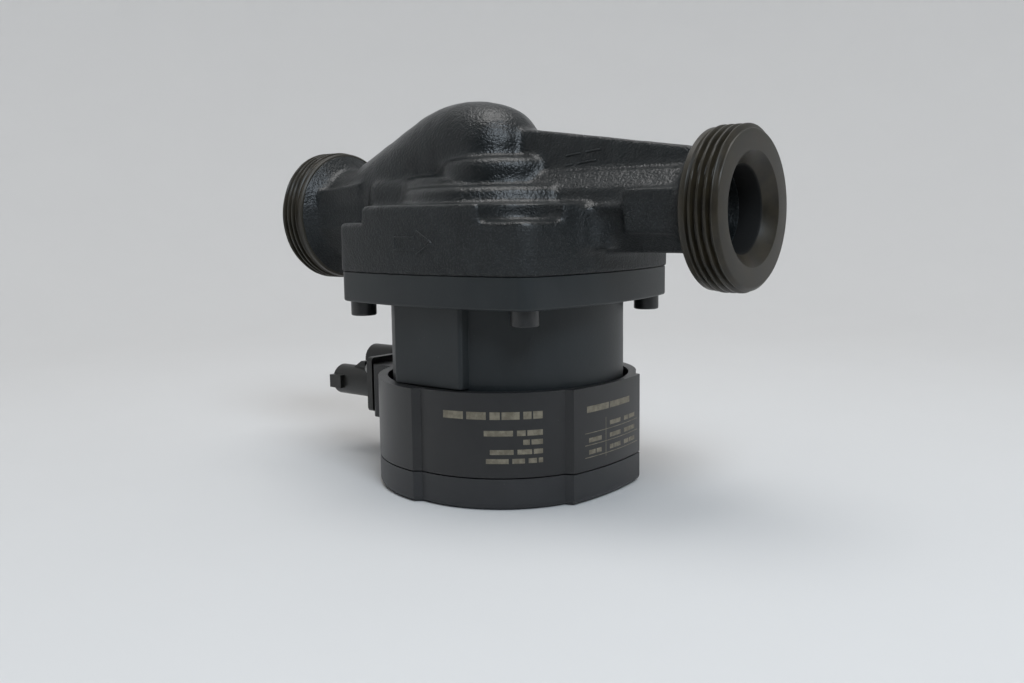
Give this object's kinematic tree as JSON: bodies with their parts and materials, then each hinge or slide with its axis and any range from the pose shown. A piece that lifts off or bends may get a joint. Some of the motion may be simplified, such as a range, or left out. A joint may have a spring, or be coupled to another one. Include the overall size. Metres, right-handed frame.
{
  "type": "circulator pump",
  "caption": "In-line wet-rotor circulator pump with threaded union ports, square flange and round control box.",
  "frame": {"origin": "centre of the flat standing face of the control box, on the motor axis", "axes": "+Z along the motor axis from the control box to the pump head, +X along the pipe in the direction of flow"},
  "size_m": [0.18, 0.0912, 0.1281],
  "materials": {
    "cast_housing": "anthracite paint over cast grain, glossy on the crowns and satin on the flange walls",
    "motor_aluminium": "smooth satin slate coating",
    "bare_aluminium": "milled",
    "stainless": "drawn stainless sheet",
    "shaft_steel": "ground",
    "core_steel": "stacked sheet steel",
    "magnet": "sintered, dark grey",
    "bearing_ceramic": "ivory ceramic, ground",
    "bearing_carbon": "carbon",
    "seal_rubber": "moulded",
    "impeller_plastic": "glass filled, satin",
    "insulator_plastic": "natural nylon",
    "copper_wire": "enamelled wire",
    "pin_brass": "tinned",
    "black_steel": "black oxide",
    "screw_steel": "dark zinc",
    "box_plastic": "fine moulded grain",
    "cover_plastic": "fine moulded grain",
    "socket_plastic": "satin",
    "button_plastic": "satin",
    "window_clear": "smoked clear",
    "led_lens": "clear lens",
    "board_green": "solder resist",
    "component_black": "moulded",
    "component_yellow": "moulded",
    "capacitor_sleeve": "printed sleeve",
    "pad_grey": "soft heat conducting pad"
  },
  "bodies": {
    "pump_body": {"pump_housing": "cast_housing", "inlet_port": "cast_housing", "outlet_port": "cast_housing", "neck_ring": "stainless", "housing_gasket": "seal_rubber", "front_bearing": "bearing_ceramic", "rear_bearing": "bearing_ceramic", "bearing_plate": "stainless", "rotor_can": "stainless", "stator_core": "core_steel", "front_insulator": "insulator_plastic", "rear_insulator": "insulator_plastic", "stator_windings": "copper_wire", "motor_housing": "motor_aluminium", "housing_bolts": "black_steel", "winding_terminals": "pin_brass", "terminal_grommet": "seal_rubber", "motor_seal": "seal_rubber", "control_box_body": "box_plastic", "control_box_screws": "screw_steel", "control_box_cover": "cover_plastic", "cover_seal": "seal_rubber", "cover_screws": "screw_steel", "display_window": "window_clear", "mode_switch": "component_black", "display_board": "board_green", "status_leds": "led_lens", "board_pillars": "insulator_plastic", "main_board": "board_green", "heat_block": "bare_aluminium", "heat_pad": "pad_grey", "power_module": "component_black", "bulk_capacitor": "capacitor_sleeve", "choke_core": "component_black", "choke_windings": "copper_wire", "film_capacitor": "component_yellow", "connector_block": "socket_plastic", "power_pins": "pin_brass", "signal_pins": "pin_brass", "connector_screws": "screw_steel"},
    "rotor": {"shaft": "shaft_steel", "impeller": "impeller_plastic", "impeller_shroud": "impeller_plastic", "rotor_core": "core_steel", "rotor_magnets": "magnet", "rotor_sleeve": "stainless", "rotor_end_rings": "stainless", "thrust_ring": "bearing_carbon", "thrust_cushion": "seal_rubber"},
    "button": {"mode_button": "button_plastic", "switch_plunger": "button_plastic"}
  },
  "joints": [
    {"name": "rotor_spin", "type": "hinge", "parent": "pump_body", "child": "rotor", "pos_m": [0, 0, 0.06], "axis": [0, 0, 1], "continuous": true},
    {"name": "mode_button_press", "type": "slide", "parent": "pump_body", "child": "button", "axis": [0, 0, 1], "range_m": [0, 0.0005], "stiffness_N_per_m": 1500, "springref_m": -0.0005}
  ]
}
